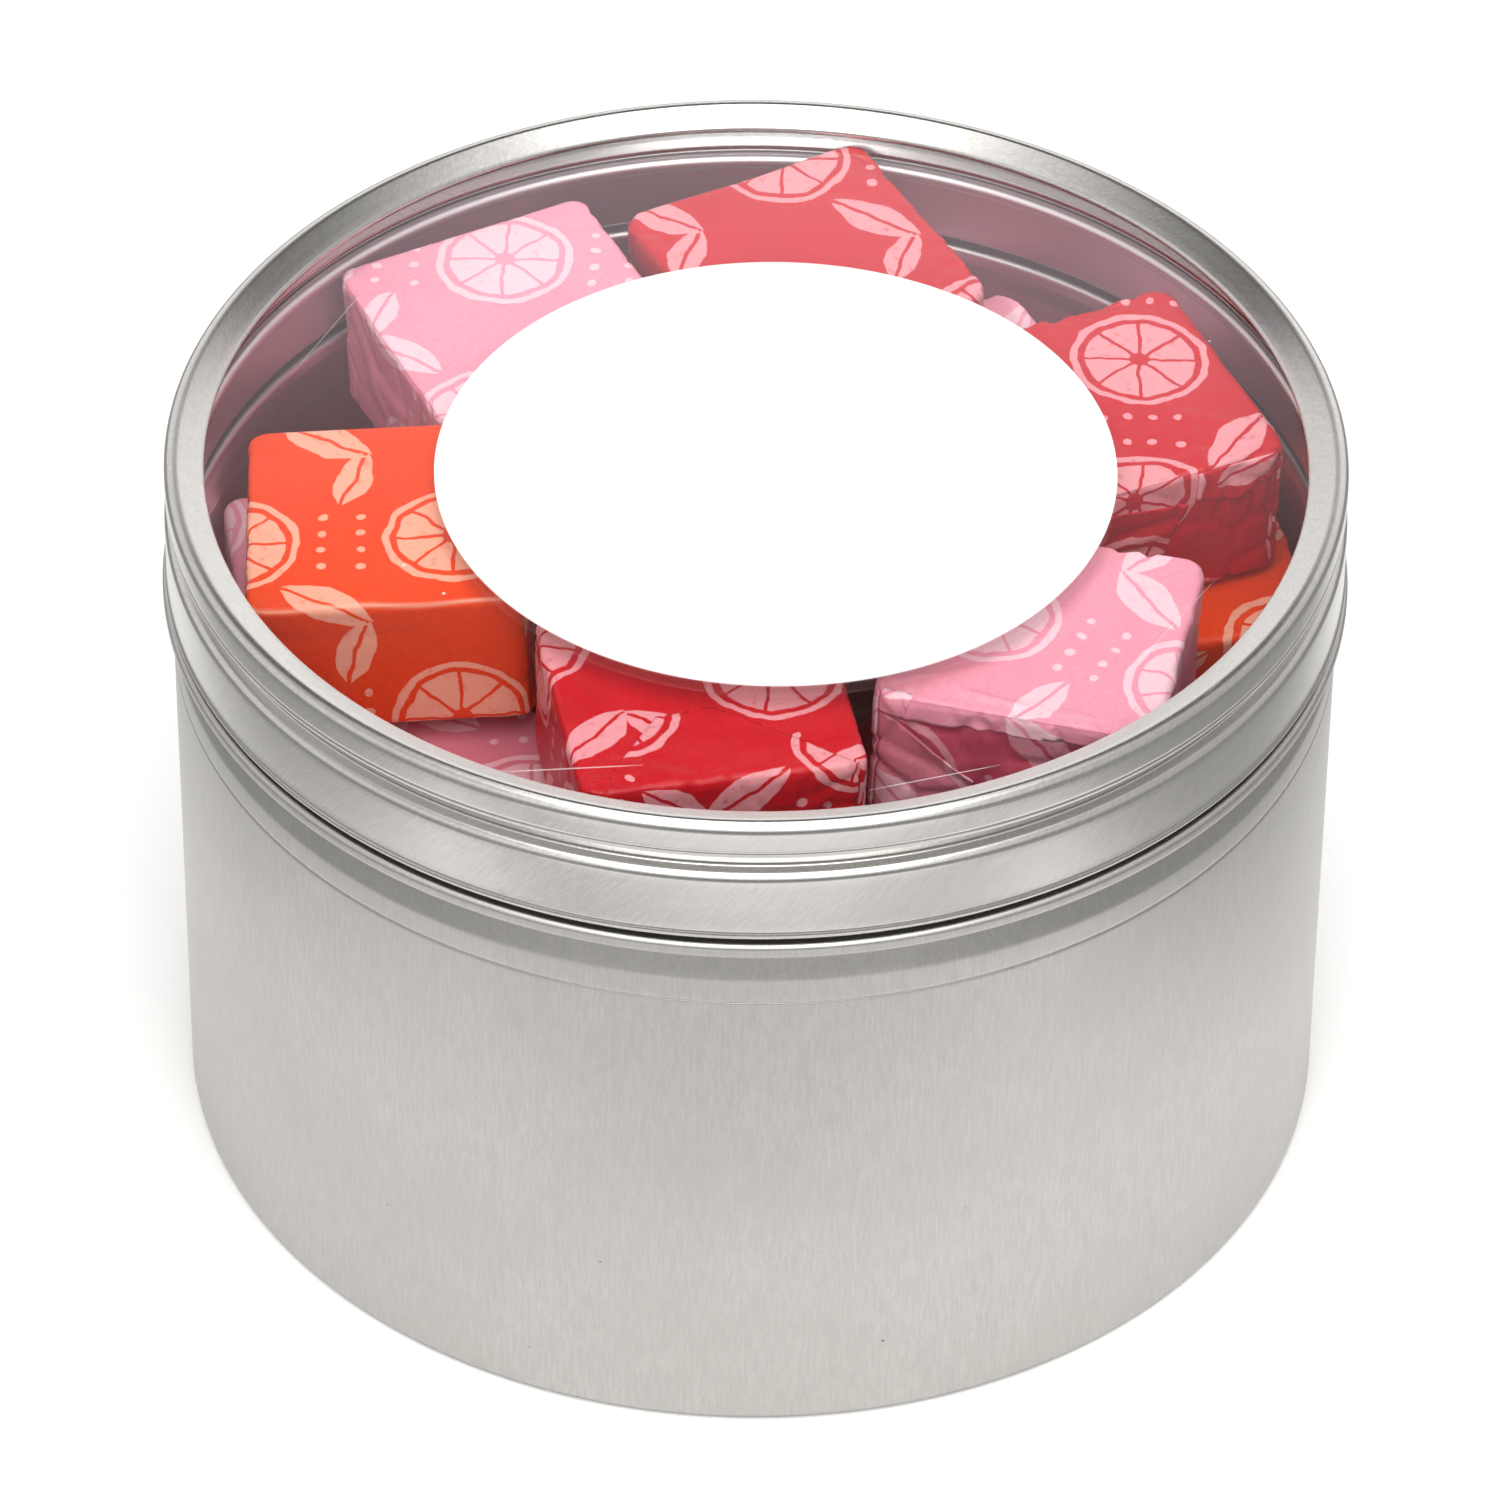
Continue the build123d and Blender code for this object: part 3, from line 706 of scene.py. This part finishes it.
def rounded(s):
    """A point on the sharp-edged block, moved to the rounded one, and the direction out of it there."""
    a, rv, re = HALF, CORNER, EDGE
    q = np.clip(s[:, :2], -(a[:2] - rv), a[:2] - rv)
    d = s[:, :2] - q
    big, ln = np.abs(d).max(1), np.linalg.norm(d, axis=1)
    corner = (np.abs(d) > 1e-9).all(1)
    p = s.copy()
    kk = np.where(ln > 1e-9, big / np.maximum(ln, 1e-9), 1.0)
    p[:, :2] = np.where(corner[:, None], q + d * kk[:, None], s[:, :2])
    gx, gy = a[0] - np.abs(s[:, 0]), a[1] - np.abs(s[:, 1])
    side = np.where((gx < gy)[:, None], np.stack([np.sign(s[:, 0]), 0 * gx], 1), np.stack([0 * gy, np.sign(s[:, 1])], 1))
    outw = np.where(corner[:, None], d / np.maximum(ln, 1e-9)[:, None], side)
    in_ = np.where(corner, rv - big, np.minimum(gx, gy))
    top = a[2] - np.abs(s[:, 2])
    o, h = np.clip(re - in_, 0, None), np.clip(re - top, 0, None)
    ln2 = np.sqrt(o * o + h * h)
    f = np.where((o > 1e-9) & (h > 1e-9), np.maximum(o, h) / np.maximum(ln2, 1e-9), 1.0)
    p[:, :2] += outw * ((f - 1) * o)[:, None]
    p[:, 2] += np.sign(s[:, 2]) * (f - 1) * h
    nrm = np.concatenate([outw * o[:, None], (np.sign(s[:, 2]) * h)[:, None]], 1)
    return p, nrm / np.maximum(np.linalg.norm(nrm, axis=1), 1e-9)[:, None]


def unfold(s):
    """Where a point of the block lies on the wrapper laid flat: the broad face, with the sides folded out around it."""
    A, B, C = HALF
    x_, y_, z_ = s.T
    u, v, drop, e = x_.copy(), y_.copy(), C - z_, 1e-6
    below = drop > e
    for hit, which in ((y_ <= -B + e, "f"), (y_ >= B - e, "b"), (x_ <= -A + e, "l"), (x_ >= A - e, "r")):
        free = hit & below & (u < 500) & (np.abs(u) <= A + e) & (np.abs(v) <= B + e)
        if which == "f":
            v = np.where(free, -B - drop, v)
        elif which == "b":
            v = np.where(free, B + drop, v)
        elif which == "l":
            u = np.where(free, -A - drop, u)
        else:
            u = np.where(free, A + drop, u)
    inside = (z_ <= -C + e) & (np.abs(x_) < A - e) & (np.abs(y_) < B - e)
    return np.where(inside, 900.0, u), v


def to_line(u, v, line):
    """Distance from points to a polyline, and how far along it the nearest place is, 0..1."""
    best, at_ = np.full(len(u), 1e9), np.zeros(len(u))
    m_ = len(line) - 1
    for i in range(m_):
        (x0, y0), (x1, y1) = line[i], line[i + 1]
        dx, dy = x1 - x0, y1 - y0
        t = np.clip(((u - x0) * dx + (v - y0) * dy) / (dx * dx + dy * dy), 0, 1)
        dd = np.hypot(u - x0 - t * dx, v - y0 - t * dy)
        at_ = np.where(dd < best, (i + t) / m_, at_)
        best = np.minimum(best, dd)
    return best, at_


class Paper:
    """How far the wrapper stands proud of the block, or sinks, at any place on it."""

    def __init__(self, rng, look):
        self.ends = look.get("ends", "x")
        self.lines = look.get("ridge", [])
        self.creased, self.endc = look.get("creased", 0.6), look.get("ends_creased", 1.0)
        self.wave = rng.uniform(0, 6.3, 4)
        self.creases = []
        for g in range(40):
            n_ = rng.normal(size=3) * np.array([1.0, 1.0, 0.7])
            n_ /= np.linalg.norm(n_)
            at_end = g >= 18
            c_ = rng.uniform(-1, 1, 3) * HALF
            mid = rng.uniform(-1, 1, 3) * HALF
            self.creases.append((n_, c_, mid, 2 * rng.uniform(2.6, 6.0) ** 2, rng.choice([-0.6, 1.0]) * rng.uniform(0.4, 1.0) * (0.26 if at_end else 0.17),
                                 0.14 * rng.uniform(0.8, 1.7), at_end))
        self.edge = look.get("edge", 1.0)
        self.seeds = rng.uniform(-1, 1, (110, 3)) * HALF * 1.05
        self.big = rng.uniform(-1, 1, (26, 3)) * HALF * 1.05

    def __call__(self, s, p):
        sx, sy = s[:, 0] / HALF[0], s[:, 1] / HALF[1]
        w = self.wave
        broad = np.abs(s[:, 2]) > HALF[2] - 1e-6
        d = np.where(broad, -0.10 * (1 - sx ** 2) * (1 - sy ** 2), 0.0)
        d += 0.05 * np.sin(p[:, 0] * 0.45 + w[0]) * np.cos(p[:, 1] * 0.40 + w[1]) + 0.03 * np.sin(p[:, 2] * 0.8 + p[:, 0] * 0.3 + w[2])
        along = sx if self.ends == "x" else sy
        near = np.clip((np.abs(along) - 0.62) / 0.38, 0, 1)
        for n_, c_, mid, sg, h, wd, at_end in self.creases:
            dist = np.abs((p - c_) @ n_)
            fade = np.exp(-((p - mid) ** 2).sum(1) / sg)
            d += h * np.exp(-dist / wd) * fade * (near * self.endc if at_end else self.creased)
        for pts_, deep_, wide, wt_ in ((self.seeds, 0.20, 0.55, near ** 1.5 * self.endc), (self.big, 0.12, 0.45, self.creased)):
            q = np.sort(np.sqrt(((p[:, None, :] - pts_[None]) ** 2).sum(2)), axis=1)
            d += -deep_ * (1 - np.clip((q[:, 1] - q[:, 0]) / wide, 0, 1)) * wt_
        u, v = unfold(s)
        for line, h, wide in self.lines:
            dist, t = to_line(u, v, line)
            d += h * np.exp(-(dist / wide) ** 1.3) * (0.45 + 0.55 * np.sin(np.pi * np.clip(t, 0.02, 0.98)))
        # the ends: side folds tucked in first, then the upper and lower flaps over them
        is_end = np.abs(along) > 0.999
        across = sy if self.ends == "x" else sx
        side_in = 9.5 - np.abs(across * 9.5)
        z_ = s[:, 2]
        stp = lambda q_: np.clip(q_ / 0.35, 0, 1)
        up_ = stp(side_in - (5.25 - z_) * 0.95) * (z_ > -2.3)
        dn_ = stp(side_in - (z_ + 5.25) * 0.95) * stp(1.3 - z_)
        d += np.where(is_end, -0.20 + 0.13 * up_ + 0.14 * dn_, 0.0)
        return np.clip(d, -0.55, 0.14)


def print_coords(sharp, quads):
    A, B, C = HALF
    uv = np.zeros((len(quads), 4, 2))
    for f in range(6):
        rows = np.where(quads[:, 4] == f)[0]
        x_, y_, z_ = np.moveaxis(sharp[quads[rows, :4]], -1, 0)
        uv[rows] = np.stack([(x_, y_), (x_, -B - (C - z_)), (x_, B + (C - z_)), (-A - (C - z_), y_), (A + (C - z_), y_), (x_, -2 * B - 2 * C - y_)][f], -1)
    return uv


def turn(uv, deg, shift):
    c, s_ = math.cos(math.radians(deg)), math.sin(math.radians(deg))
    return np.stack([uv[..., 0] * c - uv[..., 1] * s_ + shift[0] + TILE_U * 6, uv[..., 0] * s_ + uv[..., 1] * c + shift[1] + TILE_V * 7], -1)


def add_mesh(name, verts_mm, faces, uv, deep, mat):
    me = bpy.data.meshes.new(name)
    me.from_pydata([tuple(q) for q in (verts_mm * MM).tolist()], [], faces)
    layer = me.uv_layers.new(name="wrap")
    layer.data.foreach_set("uv", np.asarray(uv, np.float32).reshape(-1))
    at = me.attributes.new("deep", "FLOAT", "POINT")
    at.data.foreach_set("value", np.asarray(deep, np.float32))
    me.polygons.foreach_set("use_smooth", [True] * len(me.polygons))
    me.materials.append(mat)
    me.update()
    o = bpy.data.objects.new(name, me)
    scene.collection.objects.link(o)
    return o


def seat_matrix(centre, side, face_):
    z_ = np.array(face_, float)
    z_ /= np.linalg.norm(z_)
    x_ = np.array(side, float)
    x_ -= x_ @ z_ * z_
    x_ /= np.linalg.norm(x_)
    return np.array(centre, float), np.stack([x_, np.cross(z_, x_), z_], 1)


def clip_poly(poly, a, b):
    """Keeps what lies to the left of the line from a to b."""
    out_, n_ = [], len(poly)
    f = [(b[0] - a[0]) * (q[1] - a[1]) - (b[1] - a[1]) * (q[0] - a[0]) for q in poly]
    for i in range(n_):
        p, q, fp, fq = poly[i], poly[(i + 1) % n_], f[i], f[(i + 1) % n_]
        if fp >= 0:
            out_.append(p)
        if (fp > 0 > fq) or (fp < 0 < fq):
            t = fp / (fp - fq)
            out_.append((p[0] + (q[0] - p[0]) * t, p[1] + (q[1] - p[1]) * t))
    return out_


def flap_mesh(outline, cell=0.30):
    """A patch of doubled paper with the given convex outline on the laid-flat wrapper: points, faces and flat places."""
    area = sum(p[0] * q[1] - q[0] * p[1] for p, q in zip(outline, outline[1:] + outline[:1]))
    if area < 0:
        outline = outline[::-1]
    us, vs_ = [p[0] for p in outline], [p[1] for p in outline]
    ids, flat_pts, faces = {}, [], []

    def at(p):
        key = (round(p[0], 4), round(p[1], 4))
        if key not in ids:
            ids[key] = len(flat_pts)
            flat_pts.append(key)
        return ids[key]

    u0 = min(us)
    while u0 < max(us):
        v0 = min(vs_)
        while v0 < max(vs_):
            poly = [(u0, v0), (u0 + cell, v0), (u0 + cell, v0 + cell), (u0, v0 + cell)]
            for p, q in zip(outline, outline[1:] + outline[:1]):
                poly = clip_poly(poly, p, q)
                if len(poly) < 3:
                    break
            if len(poly) >= 3:
                idx = []
                for p in poly:
                    i = at(p)
                    if not idx or (i != idx[-1] and i != idx[0]):
                        idx.append(i)
                if len(idx) >= 3:
                    faces.append(idx)
            v0 += cell
        u0 += cell
    return np.array(flat_pts), faces


def fold_back(uv):
    """From the laid-flat wrapper to the sharp-edged block."""
    A, B, C = HALF
    u, v = uv[:, 0], uv[:, 1]
    x_, y_, z_ = np.clip(u, -A, A), np.clip(v, -B, B), np.full(len(u), C)
    z_ = np.where(v < -B, C + (v + B), z_)
    z_ = np.where(v > B, C - (v - B), z_)
    z_ = np.where(u > A, C - (u - A), z_)
    z_ = np.where(u < -A, C + (u + A), z_)
    return np.stack([x_, y_, np.clip(z_, -C, C)], 1)


for i, (name, (centre, side, face_)) in enumerate(CHEWS.items()):
    rng = np.random.default_rng(400 + i)
    n, kz = (72, 40) if i < 6 else ((48, 26) if i < 12 else (24, 14))
    look = LOOK.get(name) or dict(ends="xy"[i % 2], turn=float(rng.uniform(0, 360)), shift=tuple(rng.uniform(0, 15, 2)))
    paper = Paper(rng, look)
    pts, quads = lattice(n, kz)
    sharp = crowd(pts / np.array([n, n, kz]) * 2 - 1) * HALF
    p, nrm = rounded(sharp)
    p = p + nrm * paper(sharp, p)[:, None]
    u_, v_ = unfold(sharp)
    along = np.abs(sharp[:, 0] if paper.ends == "x" else sharp[:, 1]) / 9.5
    # the folded ends are darkened: partly doubled paper, partly painted shade
    deep = np.where(along > 0.999, 0.30, 0.0)
    # tone: a whole wrapper darkened as painted shade
    deep = np.maximum(deep, look.get("tone", 0.0))
    if "painted_edge_highlight" in look:                        # painted highlight: a pale ink-coloured line along the folded top front edge
        deep = deep - look["painted_edge_highlight"] * np.exp(-((v_ + 9.45 + 0.15 * np.sin(u_ * 0.7)) / 0.22) ** 2) * (u_ < 500)
    # painted shade, partly doubled paper: the front face below that line turns dark crimson
    if "folded_shaded_front" in look:
        deep = np.maximum(deep, np.clip((look["folded_shaded_front"] - v_) / 0.5, 0, 1) * (u_ < 500))
    uv = turn(print_coords(sharp, quads), look["turn"], look["shift"])
    faces = quads[:, :4].tolist()
    uv_rows, verts = [uv.reshape(-1, 2)], [p]
    base_n = len(p)
    for outline, deep_f, deg_f, shift_f, thick in look.get("flap", []):
        flat_pts, ff = flap_mesh([tuple(q) for q in outline])
        s2 = fold_back(flat_pts)
        p2, n2 = rounded(s2)
        d2 = paper(s2, p2)
        rim_d, _ = to_line(flat_pts[:, 0], flat_pts[:, 1], list(outline) + [outline[0]])
        lift = thick * (0.65 + 0.35 * np.sin(flat_pts[:, 0] * 1.1 + rng.uniform(0, 6)) ** 2) + 0.05 * np.exp(-rim_d / 0.5)
        top = p2 + n2 * (d2 + lift)[:, None]
        under = p2 + n2 * (d2 - 0.10)[:, None]
        m_ = len(top)
        edges = {}
        for f in ff:
            for a_, b_ in zip(f, f[1:] + f[:1]):
                edges[(a_, b_)] = edges.get((a_, b_), 0) + 1
        rim = [(a_, b_) for (a_, b_) in edges if (b_, a_) not in edges]
        flat_uv = turn(flat_pts, deg_f, shift_f)
        faces += [[base_n + j for j in f] for f in ff]
        faces += [[base_n + m_ + j for j in f[::-1]] for f in ff]
        faces += [[base_n + b_, base_n + a_, base_n + m_ + a_, base_n + m_ + b_] for a_, b_ in rim]
        uv_rows += [flat_uv[j][None] for f in ff for j in f] + [flat_uv[j][None] for f in ff for j in f[::-1]]
        uv_rows += [flat_uv[[b_, a_, a_, b_]] for a_, b_ in rim]
        verts += [top, under]
        # a flap's darkening: doubled paper, and painted shade on the front faces
        deep = np.concatenate([deep, np.full(2 * m_, deep_f)])
        base_n += 2 * m_
    c0, M3 = seat_matrix(centre, side, face_)
    placed = np.concatenate(verts) @ M3.T + c0
    if "puff" in look:                             # a loose fold of wrapper that stands up
        (px, py), high_, wide_ = look["puff"]
        rise = np.exp(-((placed[:, 0] - px) ** 2 + (placed[:, 1] - py) ** 2) / (2 * wide_ ** 2))
        placed[:, 2] += high_ * rise * np.clip((placed[:, 2] - 30.0) / 8.0, 0, 1)
    o = add_mesh(name + "_wrapped", placed, faces, np.concatenate(uv_rows), deep, wraps[name.split("_")[0]])
    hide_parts(name)
    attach(o, "tin")
